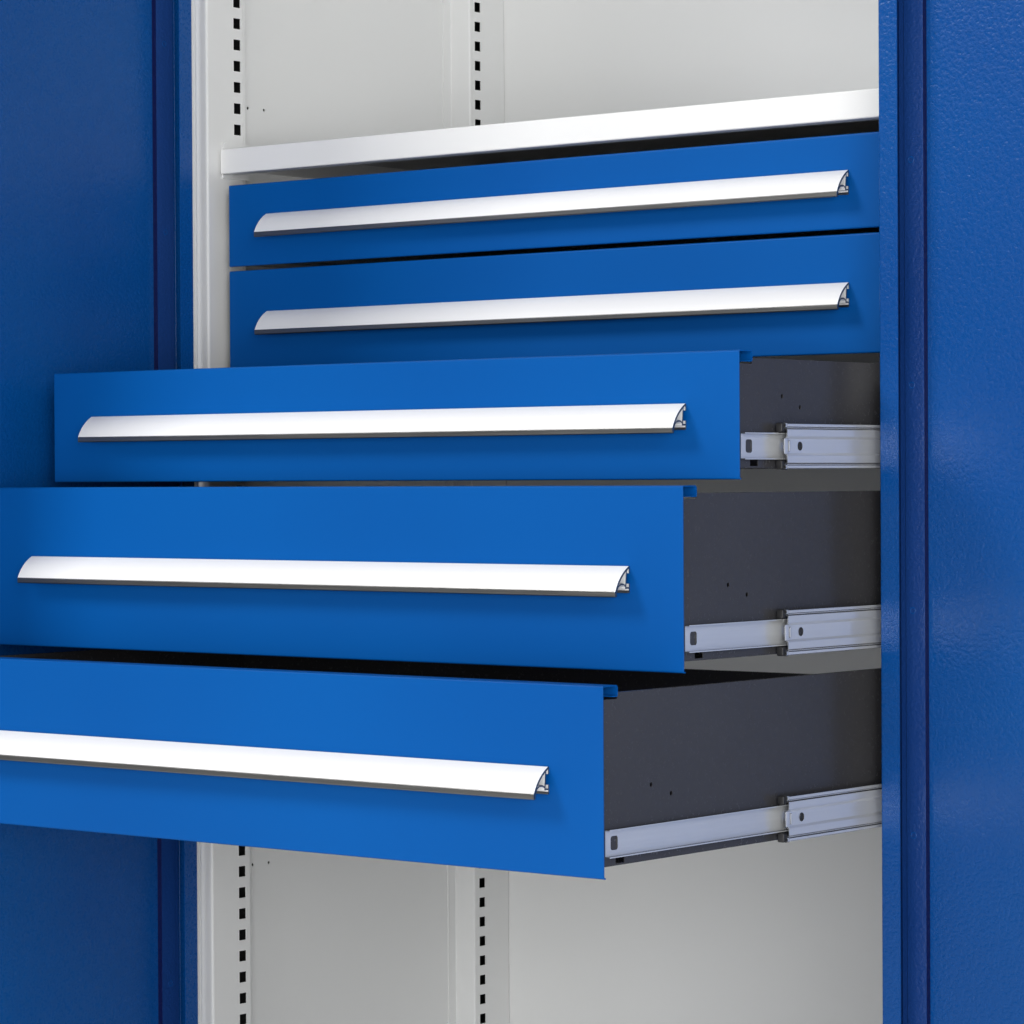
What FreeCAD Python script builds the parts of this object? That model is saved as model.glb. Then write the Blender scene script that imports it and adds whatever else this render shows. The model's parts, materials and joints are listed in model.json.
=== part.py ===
import FreeCAD, Part
import math
import os

# Tall two-door workshop cupboard with one shelf and five drawers on telescopic ball slides.
# Millimetres, +Z up, the origin on the floor at the middle of the carcass, +Y towards the back.

V = FreeCAD.Vector

# Carcass
cupboard_width = 1025.0
cupboard_depth = 550.0
cupboard_height = 1950.0
upright_width = 34.0
skin = 1.0
frame_sheet = 1.5
bend = 0.8
small_round_sides = 8

# Raised rim round the front opening
rim_width = 14.0
rim_depth = 8.0

# Uprights: hollow box sections folded inwards from the side sheets
front_upright_depth = 66.0
rear_upright_depth = 70.5
front_side_flange = 84.0
rear_side_flange = 14.5
rear_hidden_flange = 22.0
upright_corner = 3.0
upright_corner_play = 1.6
side_hole_radius = 2.0
side_hole_setbacks = (35.5, 63.5)
side_hole_heights = (519.5, 1426.0)

# Slots in the uprights, counted in rows up from the floor
slot_pitch = 25.0
slot_width = 12.0
slot_height = 12.5
slot_first_row = 12
slot_last_row = 68
front_slot_setback = 51.0
rear_slot_setback = 55.2
rear_slot_drop = 8.0

# Base and roof
floor_height = 80.0
base_rim_top = 56.0
base_rim_bottom = 42.0
plinth_setback = 26.0
base_return = 20.0
roof_rim_height = 14.0
roof_flange_height = 24.0
back_flange = 15.0

# Shelf
shelf_row = 55
shelf_below_slot_top = 6.5
shelf_lip_height = 29.0
shelf_setback = 19.0
shelf_rear_gap = 8.0
shelf_side_gap = 3.0
shelf_lip_return = 20.0
shelf_side_flange = 23.5
bracket_sheet = 2.0
bracket_length = 43.0
bracket_above_deck = 9.5
bracket_below_deck = 33.5
bracket_slot_offset = 5.5
ledge_width = 12.0

# Hooks that hang the brackets and the slides in the slots
hook_width = 8.0
hook_height = 8.0
hook_sheet = 1.5
hook_drop = 4.0
hook_play = 0.3

# Drawers, from the top down: heights in slot rows, and how far each stands out
drawer_top_row = 53
drawer_rows = (4, 5, 5, 7, 7)
drawer_out = (0.0, 0.0, 278.0, 367.0, 487.0)
drawer_gap = 5.0
front_side_gap = 18.0
front_sheet = 1.2
front_setback = 17.0
front_edge_radius = 2.0
front_side_return = 12.0
front_bottom_return = 10.0
front_top_return = 22.0
front_hook_height = 10.5
front_hook_return = 7.0
front_hook_radius = 3.2

# Drawer boxes
box_sheet = 1.0
box_rear_gap = 28.0
box_top_drop = 7.0
box_bottom_rise = 10.5
box_hem = 6.0
box_hem_drop = 4.0
box_notch_play = 2.0
box_rear_drop = 12.0
box_cutout_length = 13.0
box_cutout_height = 8.0
box_cutout_setback = 20.0
box_hole_radius = 2.2
box_holes = ((73.0, 78.0), (103.0, 68.0))

# Handles: a straight extruded section on every front
handle_side_gap = 60.5
handle_height = 28.0
handle_reach = 22.0
handle_above_middle = 11.3
handle_plate = 2.0
handle_nose_height = 5.0
handle_web = 1.4
handle_foot = 1.4
finger_radius = 7.2
handle_bow = 2.8
handle_wall_gap = 1.2
handle_web_setback = 6.12
handle_foot_rise = 3.6
handle_web_top = 3.2
handle_web_tip = 2.6
handle_pad_up = 4.5
handle_pad_down = 4.0
handle_lip_height = 6.5

# Three-member ball slides
slide_depth = 20.0
slide_above_front_bottom = 31.0
slide_sheet = 1.5
slide_front_setback = 22.0
slide_rear_gap = 29.0
outer_half_height = 26.5
outer_flange = 14.5
outer_lip = 3.3
middle_half_height = 21.25
middle_step_height = 17.75
middle_back = 6.5
middle_step = 11.0
middle_reach = 17.0
middle_rear_gap = 33.0
middle_channel_half = 6.2
middle_channel_depth = 1.4
middle_groove_height = 15.0
middle_groove_width = 1.2
middle_groove_depth = 0.6
middle_nose_length = 7.0
middle_nose_half = 9.0
middle_hole_setback = 28.0
inner_half_height = 12.5
inner_flange = 9.0
inner_front_setback = 29.5
inner_rear_gap = 30.5
inner_slot_length = 10.0
inner_slot_height = 12.0
inner_slot_setback = 37.0
middle_travel = 225.0

# Ball cages between the members
ball_radius = 1.8
cage_sheet = 0.6
cage_play = 0.45
outer_cage_start = 233.0
outer_cage_length = 220.0
inner_cage_start = 28.0
inner_cage_length = 180.0

# Doors: single sheets folded into pans, on pivots at the top and the bottom
door_depth = 30.0
door_flange = 21.5
door_rim_gap = 8.0
door_centre_gap = 3.0
door_top_gap = 6.0
door_bottom_rise = 47.0
door_bend = 1.2
pivot_from_edge = 13.2
pivot_from_inner_face = 23.4
pivot_radius = 4.0
pivot_play = 0.15
pivot_length = 17.0
bush_wall = 1.2
bush_length = 13.0
bush_flange_radius = 6.3
running_gap = 0.3
pivot_bracket_sheet = 3.0
pivot_bracket_half = 9.0
pivot_bracket_leg = 12.0

# Stiffener strips on the inside of the doors
strip_from_edge = 10.4
strip_width = 25.6
strip_step = 4.7
strip_step_depth = 0.8
strip_height = 5.7
strip_foot = 6.0
strip_end_gap = 24.0
closing_strip_lap = 12.0

# Espagnolette lock of the right door
lock_height = 1000.0
lock_backset = 45.0
lock_plate_width = 34.0
lock_plate_height = 140.0
lock_plate_sheet = 3.0
spindle_radius = 6.0
spindle_play = 0.2
sleeve_wall = 3.0
lever_length = 105.0
lever_width = 22.0
lever_thickness = 12.0
lever_stand = 6.0
cylinder_radius = 7.0
cylinder_height = 3.0
cam_radius = 21.0
cam_sheet = 3.0
cam_pin_circle = 14.0
cam_pin_radius = 3.0
cam_pin_play = 0.8
rod_width = 12.0
rod_sheet = 4.0
rod_head_wall = 2.5
rod_head_height = 16.0
rod_cam_gap = 0.4
rod_end_gap = 15.0
guide_sheet = 1.5
guide_height = 16.0
guide_play = 0.4
guide_foot = 9.0
strike_height = 13.0
strike_width = 30.0

# Places worked out from the sizes above
half_width = cupboard_width / 2
inner_width = cupboard_width - 2 * upright_width
face_x = inner_width / 2
back_y = cupboard_depth / 2
flange_y = -back_y
rim_y = flange_y - rim_depth
rim_x = half_width - rim_width
side_x = half_width - skin
front_slot_y = flange_y + front_slot_setback
rear_slot_y = back_y - rear_slot_setback
upright_rear_y = flange_y + front_upright_depth
rear_upright_y = back_y - skin - rear_upright_depth
shelf_top = shelf_row * slot_pitch - shelf_below_slot_top
shelf_front_y = flange_y + shelf_setback
drawer_front_y = flange_y + front_setback
front_half = face_x - front_side_gap
handle_length = 2 * (front_half - handle_side_gap)
box_half = face_x - slide_depth
box_front_y = drawer_front_y + front_sheet
box_length = back_y - box_rear_gap - box_front_y
slide_front_y = flange_y + slide_front_setback
slide_length = back_y - slide_rear_gap - slide_front_y
middle_length = back_y - middle_rear_gap - slide_front_y
inner_front_y = flange_y + inner_front_setback
inner_length = back_y - inner_rear_gap - inner_front_y
door_inner_y = rim_y - door_rim_gap
door_outer_y = door_inner_y - door_depth
door_top = cupboard_height - door_top_gap
pivot_x = half_width - pivot_from_edge
pivot_y = door_inner_y - pivot_from_inner_face
bracket_gap = door_bottom_rise - base_rim_bottom - pivot_bracket_sheet
lock_x = door_centre_gap / 2 + lock_backset


def across(start):
    # Points (y, z) of a section that runs along X
    return lambda a, b: V(start, a, b)


def inwards(start):
    # Points (x, z) of a section that runs along Y
    return lambda a, b: V(a, start, b)


def upwards(start):
    # Points (x, y) of a section that runs along Z
    return lambda a, b: V(a, b, start)


def off_face(start):
    # Points (distance from the slotted face, z) of a slide section that runs along Y
    return lambda a, b: V(face_x - a, start, b)


def box(x0, x1, y0, y1, z0, z1):
    return Part.makeBox(x1 - x0, y1 - y0, z1 - z0, V(x0, y0, z0))


def rod(radius, foot, direction, length):
    return Part.makeCylinder(radius, length, foot, direction)


def prism(points, plane, run):
    corners = [plane(*point) for point in points]
    return Part.Face(Part.makePolygon(corners + corners[:1])).extrude(run)


def many_sided(centre, radius, plane, run):
    # A straight bar or hole whose section is a regular polygon inside the circle
    turn = 2 * math.pi / small_round_sides
    points = [(centre[0] + radius * math.cos(turn * (index + 0.5)),
               centre[1] + radius * math.sin(turn * (index + 0.5)))
              for index in range(small_round_sides)]
    return prism(points, plane, run)


def flat(point):
    return V(point[0], point[1], 0)


def rounded(points, radii, plane):
    # Straight runs joined by tangent arcs, one radius for each inner corner; 0 leaves it sharp
    edges = []
    here = points[0]
    for before, point, after, radius in zip(points, points[1:], points[2:], radii):
        if radius == 0:
            edges.append(Part.makeLine(plane(here.x, here.y), plane(point.x, point.y)))
            here = point
            continue
        back = (before - point).normalize()
        on = (after - point).normalize()
        half = back.getAngle(on) / 2
        reach = radius / math.tan(half)
        centre = point + (back + on).normalize() * (radius / math.sin(half))
        first = point + back * reach
        last = point + on * reach
        middle = centre + (point - centre).normalize() * radius
        edges.append(Part.makeLine(plane(here.x, here.y), plane(first.x, first.y)))
        arc = [plane(place.x, place.y) for place in (first, middle, last)]
        edges.append(Part.Arc(*arc).toShape())
        here = last
    edges.append(Part.makeLine(plane(here.x, here.y), plane(points[-1].x, points[-1].y)))
    return edges


def folded(points, sheet, plane, run, radius=bend):
    # Bent sheet metal: the points are one face of the sheet, whose thickness lies to the left
    # of the path, or to the right where it is negative; the radius is that of the inside bends
    path = [flat(point) for point in points]
    ways = [(after - before).normalize() for before, after in zip(path, path[1:])]
    lefts = [V(-way.y, way.x, 0) for way in ways]
    other = [path[0] + lefts[0] * sheet]
    path_radii = []
    other_radii = []
    for index in range(1, len(path) - 1):
        before, after = lefts[index - 1], lefts[index]
        other.append(path[index] + (before + after) * (sheet / (1 + before.dot(after))))
        turns_left = ways[index - 1].cross(ways[index]).z > 0
        outside = turns_left == (sheet > 0)
        outer = radius + abs(sheet) if radius else 0
        path_radii.append(outer if outside else radius)
        other_radii.append(radius if outside else outer)
    other.append(path[-1] + lefts[-1] * sheet)
    edges = rounded(path, path_radii, plane)
    edges.append(Part.makeLine(plane(path[-1].x, path[-1].y), plane(other[-1].x, other[-1].y)))
    edges += rounded(other[::-1], other_radii[::-1], plane)
    edges.append(Part.makeLine(plane(other[0].x, other[0].y), plane(path[0].x, path[0].y)))
    return Part.Face(Part.Wire(edges)).extrude(run)


def joined(first, *others):
    return first.multiFuse(list(others)).removeSplitter()


def group(solids):
    return Part.makeCompound([solid for shape in solids for solid in shape.Solids])


def mirrored(shape):
    return shape.mirror(V(0, 0, 0), V(1, 0, 0))


def moved(shape, x=0.0, y=0.0, z=0.0):
    copy = shape.copy()
    copy.translate(V(x, y, z))
    return copy


def save(name, *solids):
    shape = solids[0] if len(solids) == 1 else group(solids)
    shape.exportStep("parts/" + name + ".step")


def slot_top(row, rear):
    return row * slot_pitch - (rear_slot_drop if rear else 0.0)


def slots(y, rear):
    cuts = []
    for row in range(slot_first_row, slot_last_row + 1):
        top = slot_top(row, rear)
        cuts.append(box(face_x - 1, face_x + frame_sheet + 1, y - slot_width / 2, y + slot_width / 2,
                        top - slot_height, top))
    return Part.makeCompound(cuts)


def hook(y, top):
    # Goes through one slot, rests on its lower edge and drops behind the sheet
    bottom = top - slot_height
    inside = face_x + frame_sheet + hook_play
    outside = inside + hook_sheet
    points = [(face_x, bottom), (inside, bottom), (inside, bottom - hook_drop),
              (outside, bottom - hook_drop), (outside, bottom + hook_height),
              (face_x, bottom + hook_height)]
    return prism(points, inwards(y - hook_width / 2), V(0, hook_width, 0))


def side_panel():
    return box(side_x, half_width, rim_y, back_y, 0, cupboard_height - skin)


def back_panel():
    return box(-side_x, side_x, back_y - skin, back_y, 0, cupboard_height - skin)


def front_upright():
    inner_side = side_x - frame_sheet
    points = [(inner_side, upright_rear_y + front_side_flange), (inner_side, upright_rear_y),
              (face_x, upright_rear_y), (face_x, flange_y), (rim_x, flange_y), (rim_x, rim_y),
              (side_x, rim_y)]
    bottom = base_rim_bottom + skin
    run = V(0, 0, cupboard_height - skin - bottom)
    shape = folded(points, frame_sheet, upwards(bottom), run, upright_corner - frame_sheet)
    shape = shape.cut(slots(front_slot_y, False))
    for height in side_hole_heights:
        for setback in side_hole_setbacks:
            shape = shape.cut(many_sided((upright_rear_y + setback, height), side_hole_radius,
                                         across(inner_side - 1), V(frame_sheet + 1, 0, 0)))
    return shape


def rear_upright():
    inner_side = side_x - frame_sheet
    sheet_y = back_y - skin
    points = [(inner_side, rear_upright_y - rear_side_flange), (inner_side, rear_upright_y),
              (face_x, rear_upright_y), (face_x, sheet_y), (face_x + rear_hidden_flange, sheet_y)]
    run = V(0, 0, cupboard_height - skin - floor_height)
    shape = folded(points, -frame_sheet, upwards(floor_height), run)
    return shape.cut(slots(rear_slot_y, True))


def top_panel():
    flange_bottom = cupboard_height - roof_rim_height - roof_flange_height
    step = cupboard_height - roof_rim_height
    inside = back_y - skin
    plate = box(-half_width, half_width, rim_y, back_y, cupboard_height - skin, cupboard_height)
    front = [(flange_y + base_return, flange_bottom), (flange_y, flange_bottom), (flange_y, step),
             (rim_y, step), (rim_y, cupboard_height), (rim_y + base_return, cupboard_height)]
    front = folded(front, -skin, across(-face_x), V(inner_width, 0, 0))
    rim = [(flange_y, step), (rim_y, step), (rim_y, cupboard_height),
           (rim_y + base_return, cupboard_height)]
    reach = rim_x - upright_corner_play
    rim = folded(rim, -skin, across(-reach), V(2 * reach, 0, 0))
    back = [(inside - base_return, cupboard_height), (inside, cupboard_height),
            (inside, cupboard_height - back_flange)]
    back = folded(back, -skin, across(-face_x), V(inner_width, 0, 0))
    return joined(plate, front, rim, back)


def base_panel():
    inside = back_y - skin
    plinth_y = flange_y + plinth_setback
    width = V(inner_width, 0, 0)
    floor = [(inside, floor_height - base_return), (inside, floor_height),
             (flange_y, floor_height), (flange_y, base_rim_top), (rim_y, base_rim_top),
             (rim_y, base_rim_bottom), (plinth_y, base_rim_bottom), (plinth_y, 0),
             (plinth_y + base_return, 0)]
    floor = folded(floor, skin, across(-face_x), width)
    rim = [(flange_y, base_rim_top), (rim_y, base_rim_top), (rim_y, base_rim_bottom),
           (plinth_y, base_rim_bottom)]
    reach = rim_x - upright_corner_play
    rim = folded(rim, skin, across(-reach), V(2 * reach, 0, 0))
    foot = [(rim_y, base_rim_bottom), (plinth_y, base_rim_bottom), (plinth_y, 0),
            (plinth_y + base_return, 0)]
    foot = folded(foot, skin, across(-side_x), V(2 * side_x, 0, 0))
    wing = box(-side_x, side_x, upright_rear_y + upright_corner_play, rear_upright_y,
               floor_height - skin, floor_height)
    flanges = ((upright_rear_y, upright_rear_y + front_side_flange),
               (rear_upright_y - rear_side_flange, rear_upright_y))
    for x in (-side_x, side_x - frame_sheet):
        for start, end in flanges:
            wing = wing.cut(box(x - bend, x + frame_sheet + bend, start, end,
                                floor_height - skin, floor_height))
    return joined(floor, rim, foot, wing)


def shelf():
    half = face_x - shelf_side_gap
    rear = back_y - shelf_rear_gap
    flange_bottom = shelf_top - shelf_side_flange
    lip_bottom = shelf_top - shelf_lip_height
    deck = [(rear, flange_bottom), (rear, shelf_top), (shelf_front_y, shelf_top),
            (shelf_front_y, lip_bottom), (shelf_front_y + shelf_lip_return, lip_bottom)]
    deck = folded(deck, skin, across(-half), V(2 * half, 0, 0))
    sides = [box(x, x + skin, shelf_front_y + skin, rear - skin, flange_bottom, shelf_top - skin)
             for x in (-half, half - skin)]
    return joined(deck, *sides)


def shelf_bracket(rear):
    # A plate on the slotted face with a ledge under the shelf's side flange
    deck_drop = rear_slot_drop if rear else 0.0
    slot_y = rear_slot_y if rear else front_slot_y
    front = slot_y - bracket_length / 2 - (0.0 if rear else bracket_slot_offset)
    top = shelf_top + bracket_above_deck
    bottom = shelf_top - bracket_below_deck
    inside = face_x - bracket_sheet
    ledge = shelf_top - shelf_side_flange
    plate = box(inside, face_x, front, front + bracket_length, bottom, top)
    corners = [edge for edge in plate.Edges
               if abs(edge.tangentAt(edge.FirstParameter).x) > 0.9 and edge.CenterOfMass.z > top - 1]
    plate = plate.makeFillet(bracket_above_deck - bracket_sheet, corners)
    shelf_side = box(inside - ledge_width, inside, front, front + bracket_length,
                     ledge - bracket_sheet, ledge)
    hooks = [hook(slot_y, shelf_row * slot_pitch - deck_drop - step * slot_pitch) for step in (0, 1)]
    return joined(plate, shelf_side, *hooks)


def cabinet_member(bottom_row):
    # Outer member of one slide, hooked into two front slots and one rear slot
    centre = bottom_row * slot_pitch + drawer_gap + slide_above_front_bottom
    lip = outer_half_height - outer_lip
    points = [(outer_flange, lip), (outer_flange, outer_half_height), (0, outer_half_height),
              (0, -outer_half_height), (outer_flange, -outer_half_height), (outer_flange, -lip)]
    shape = folded(points, slide_sheet, off_face(slide_front_y), V(0, slide_length, 0), 0)
    shape = moved(shape, z=centre)
    hooks = [hook(front_slot_y, slot_top(bottom_row + 2, False)),
             hook(front_slot_y, slot_top(bottom_row + 1, False)),
             hook(rear_slot_y, slot_top(bottom_row + 2, True))]
    return joined(shape, *hooks)


def middle_member():
    # Double-stepped channel: the outer ball track runs over its back, the inner one under its tip
    channel = middle_back + middle_channel_depth
    ease = middle_channel_half + middle_channel_depth
    slope = middle_step + 1
    points = [(middle_reach, middle_step_height), (slope, middle_step_height),
              (middle_step, middle_half_height), (middle_back, middle_half_height),
              (middle_back, ease), (channel, middle_channel_half)]
    points += [(reach, -height) for reach, height in points[::-1]]
    shape = folded(points, slide_sheet, off_face(slide_front_y), V(0, middle_length, 0), 0)
    end = slide_front_y + middle_nose_length
    for side in (-1, 1):
        groove = side * (middle_groove_height + middle_groove_width / 2)
        shape = shape.cut(box(face_x - middle_back - middle_groove_depth, face_x,
                              slide_front_y, slide_front_y + middle_length,
                              groove - middle_groove_width / 2, groove + middle_groove_width / 2))
        corner = [(slide_front_y - 1, side * middle_nose_half), (end, side * middle_nose_half),
                  (end + middle_nose_length, side * (middle_half_height + 1)),
                  (slide_front_y - 1, side * (middle_half_height + 1))]
        shape = shape.cut(prism(corner, across(face_x - slide_depth), V(slide_depth, 0, 0)))
    hole = V(face_x - slide_depth, slide_front_y + middle_hole_setback, 0)
    return shape.cut(rod(middle_channel_half / 2, hole, V(1, 0, 0), slide_depth))


def drawer_member():
    points = [(slide_depth - inner_flange, inner_half_height), (slide_depth, inner_half_height),
              (slide_depth, -inner_half_height), (slide_depth - inner_flange, -inner_half_height)]
    shape = folded(points, -slide_sheet, off_face(inner_front_y), V(0, inner_length, 0))
    slot_start = drawer_front_y + inner_slot_setback
    return shape.cut(box(box_half - 1, box_half + slide_sheet + 1, slot_start,
                         slot_start + inner_slot_length,
                         -inner_slot_height / 2, inner_slot_height / 2))


def ball_cage(web, half_height, ball_reach, start, length):
    # A bent strip and its two rows of balls, each row drawn as one many-sided bar
    begin = slide_front_y + start
    points = [(ball_reach, half_height), (web, half_height), (web, -half_height),
              (ball_reach, -half_height)]
    cage = folded(points, cage_sheet, off_face(begin), V(0, length, 0), 0)
    rows = [many_sided((ball_reach, side * (half_height - cage_sheet / 2)), ball_radius,
                       off_face(begin), V(0, length, 0)) for side in (-1, 1)]
    return joined(cage, *rows)


def slide_cages():
    outer_web = slide_sheet + cage_play
    outer_track = (outer_half_height - slide_sheet + middle_half_height) / 2
    outer_ball = (middle_back + middle_step) / 2
    outer = ball_cage(outer_web, outer_track + cage_sheet / 2, outer_ball, outer_cage_start,
                      outer_cage_length)
    inner_web = middle_back + middle_channel_depth + slide_sheet + cage_play
    inner_track = (middle_step_height - slide_sheet + inner_half_height) / 2
    inner_ball = (middle_step + 1 + middle_reach) / 2
    inner = ball_cage(inner_web, inner_track + cage_sheet / 2, inner_ball, inner_cage_start,
                      inner_cage_length)
    return [outer, inner]


def rounded_front(half, front, back, bottom, top, radius):
    # A block whose four front edges are rounded
    shape = box(-half, half, front, back, bottom, top)
    edges = [edge for edge in shape.Edges if edge.CenterOfMass.y < front + 0.01]
    return shape.makeFillet(radius, edges)


def drawer_front(bottom, top):
    # A pan with rounded edges, whose top return ends in a downward hook that stiffens it
    back = drawer_front_y + front_side_return
    lower = drawer_front_y + front_bottom_return
    pan = rounded_front(front_half, drawer_front_y, back, bottom, top, front_edge_radius)
    hollow_half = front_half - front_sheet
    pan = pan.cut(box(-hollow_half, hollow_half, box_front_y, back + 1, bottom + front_sheet,
                      top - front_sheet))
    pan = pan.cut(box(-front_half + front_edge_radius, front_half - front_edge_radius, lower,
                      back + 1, bottom - 1, bottom + front_sheet))
    hook_y = drawer_front_y + front_top_return
    hook_bottom = top - front_hook_height
    ends = front_half - front_edge_radius
    points = [(back - 1, top), (hook_y, top), (hook_y, hook_bottom),
              (hook_y - front_hook_return, hook_bottom)]
    curl = folded(points, -front_sheet, across(-ends), V(2 * ends, 0, 0), front_hook_radius)
    return joined(pan, curl)


def drawer_box(bottom, top):
    # Sides and floor are one bent sheet with hemmed top edges, the rear wall closes it
    low = bottom + box_bottom_rise
    high = top - box_top_drop
    rear = box_front_y + box_length
    hem = box_half - box_hem
    points = [(-hem, high - box_hem_drop), (-hem, high), (-box_half, high), (-box_half, low),
              (box_half, low), (box_half, high), (hem, high), (hem, high - box_hem_drop)]
    tray = folded(points, box_sheet, inwards(box_front_y), V(0, box_length, 0), 0)
    edges = [edge for edge in tray.Edges if abs(edge.tangentAt(edge.FirstParameter).y) > 0.9
             and edge.CenterOfMass.z < low + 0.01]
    tray = tray.makeFillet(box_sheet / 2, edges)
    rear_top = high - box_rear_drop
    wall = [(rear - box_hem, low), (rear, low), (rear, rear_top), (rear - box_hem, rear_top),
            (rear - box_hem, rear_top - box_hem_drop)]
    inner = box_half - box_sheet
    wall = folded(wall, box_sheet, across(-inner), V(2 * inner, 0, 0), 0)
    weld = [(box_front_y + box_hem, low), (box_front_y, low), (box_front_y, low + box_hem)]
    weld = folded(weld, -box_sheet, across(-inner), V(2 * inner, 0, 0), 0)
    tray = joined(tray, wall, weld)
    notch_end = drawer_front_y + front_top_return + box_notch_play
    notch_bottom = top - front_hook_height - box_notch_play
    tray = tray.cut(box(-box_half - 1, box_half + 1, box_front_y - 1, notch_end, notch_bottom, top))
    cut_start = drawer_front_y + box_cutout_setback
    for x in (-box_half - 1, inner - 1):
        tray = tray.cut(box(x, x + box_sheet + 2, cut_start, cut_start + box_cutout_length,
                            low + box_sheet + bend, low + box_cutout_height))
    for setback, rise in box_holes:
        if bottom + rise + box_hem < high:
            tray = tray.cut(many_sided((drawer_front_y + setback, bottom + rise), box_hole_radius,
                                       across(-box_half - 1), V(2 * box_half + 2, 0, 0)))
    return tray


def handle_section(reach, drop):
    # Points of the section are (distance in front of the drawer front, depth below the top)
    return drawer_front_y - reach, -drop


def handle():
    # Curved outer plate, a web and a foot behind it, and a round recess for the fingers
    run = V(handle_length, 0, 0)
    plane = across(-handle_length / 2)
    top = V(handle_web, 0, 0)
    bottom = V(handle_reach, handle_height - handle_nose_height, 0)
    chord = bottom - top
    rise = handle_bow
    middle = (top + bottom) * 0.5 + V(chord.y, -chord.x, 0).normalize() * rise
    radius = (chord.Length ** 2 / 4 + rise ** 2) / (2 * rise)
    centre = middle - V(chord.y, -chord.x, 0).normalize() * radius
    inner = [centre + (point - centre).normalize() * (radius - handle_plate)
             for point in (top, middle, bottom)]

    def arc(first, second, third):
        places = [plane(*handle_section(point.x, point.y)) for point in (first, second, third)]
        return Part.Arc(*places).toShape()

    def line(first, second):
        return Part.makeLine(plane(*handle_section(first.x, first.y)),
                             plane(*handle_section(second.x, second.y)))

    plate = Part.Wire([arc(top, middle, bottom), line(bottom, inner[2]),
                       arc(inner[2], inner[1], inner[0]), line(inner[0], top)])
    plate = Part.Face(plate).extrude(run)
    finger = V(handle_reach - handle_plate - handle_wall_gap - finger_radius,
               handle_height - handle_nose_height + handle_wall_gap, 0)
    foot = plane(*handle_section(finger.x, finger.y))
    ring = rod(finger_radius + handle_web, foot, V(1, 0, 0), handle_length)
    hollow = rod(finger_radius, foot, V(1, 0, 0), handle_length)
    nose_radius = handle_height - finger.y
    below = prism([handle_section(-1, finger.y), handle_section(2 * handle_reach, finger.y),
                   handle_section(2 * handle_reach, 2 * handle_height),
                   handle_section(-1, 2 * handle_height)], plane, run)
    ring = ring.cut(hollow).cut(below)
    left = finger.x - handle_web_setback
    behind = prism([handle_section(-1, 0), handle_section(left, 0),
                    handle_section(left, handle_height), handle_section(-1, handle_height)],
                   plane, run)
    ring = ring.cut(behind)
    nose_centre = finger.x + finger_radius + nose_radius / 2
    nose_width = handle_reach - nose_centre
    nose = rod(nose_width, plane(*handle_section(nose_centre, handle_height - nose_width)),
               V(1, 0, 0), handle_length)
    nose_block = prism([handle_section(nose_centre - nose_width, finger.y - 1),
                        handle_section(handle_reach, handle_height - handle_nose_height),
                        handle_section(handle_reach, handle_height - nose_width),
                        handle_section(nose_centre - nose_width, handle_height - nose_width)],
                       plane, run)
    nose_block = nose_block.cut(hollow)
    web_foot = finger.y - handle_foot_rise
    web = prism([handle_section(left, web_foot), handle_section(left + handle_web, web_foot),
                 handle_section(left, handle_web_top),
                 handle_section(left - handle_web, handle_web_tip)], plane, run)
    bar = prism([handle_section(0, web_foot), handle_section(left + handle_web, web_foot),
                 handle_section(left + handle_web, web_foot - handle_web),
                 handle_section(0, web_foot - handle_web)], plane, run)
    pad = prism([handle_section(0, web_foot - handle_pad_up),
                 handle_section(handle_foot, web_foot - handle_pad_up),
                 handle_section(handle_foot, web_foot + handle_pad_down),
                 handle_section(0, web_foot + handle_pad_down)], plane, run)
    lip = prism([handle_section(0, 0), handle_section(handle_foot, 0),
                 handle_section(handle_foot, handle_lip_height),
                 handle_section(0, handle_lip_height)], plane, run)
    return joined(plate, ring, nose, nose_block, web, bar, pad, lip)


def door_pan():
    # The right door in its closed place: skin, four edges and a return all round the inside
    edge = half_width
    closing = door_centre_gap / 2
    points = [(edge - door_flange, door_inner_y), (edge, door_inner_y), (edge, door_outer_y),
              (closing, door_outer_y), (closing, door_inner_y),
              (closing + door_flange, door_inner_y)]
    height = door_top - door_bottom_rise
    pan = folded(points, -skin, upwards(door_bottom_rise), V(0, 0, height), door_bend)
    inside = (closing + skin, edge - skin)
    caps = []
    for bottom, flange_bottom in ((door_top - skin, door_top - door_flange),
                                  (door_bottom_rise, door_bottom_rise)):
        caps.append(box(*inside, door_outer_y + skin, door_inner_y, bottom, bottom + skin))
        caps.append(box(*inside, door_inner_y - skin, door_inner_y, flange_bottom,
                        flange_bottom + door_flange))
    pan = joined(pan, *caps)
    for z in (door_bottom_rise - 1, door_top - skin - 1):
        hole = rod(pivot_radius + pivot_play + bush_wall, V(pivot_x, pivot_y, z), V(0, 0, 1),
                   skin + 2)
        pan = pan.cut(hole)
    return pan


def door_strip(edge, way):
    # A hat section on the skin near one upright edge; way is -1 or 1 away from that edge
    floor = door_outer_y + skin
    top = floor + strip_height
    near = edge + way * strip_from_edge
    step = near + way * strip_step
    far = near + way * strip_width
    points = [(near - way * strip_foot, floor), (near, floor), (near, top - strip_step_depth),
              (step, top - strip_step_depth), (step + way * strip_step_depth, top), (far, top),
              (far, floor + skin), (far - way * strip_foot, floor + skin)]
    bottom = door_bottom_rise + strip_end_gap
    run = V(0, 0, door_top - strip_end_gap - bottom)
    return folded(points, way * skin, upwards(bottom), run, 0)


def door_strips():
    return [door_strip(half_width, -1), door_strip(door_centre_gap / 2, 1)]


def closing_strip():
    # Fastened inside the left door and reaching behind the right one
    closing = -door_centre_gap / 2
    return box(closing - door_flange + 2, closing + closing_strip_lap, door_inner_y,
               door_inner_y + frame_sheet, door_bottom_rise + door_flange,
               door_top - door_flange)


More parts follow.
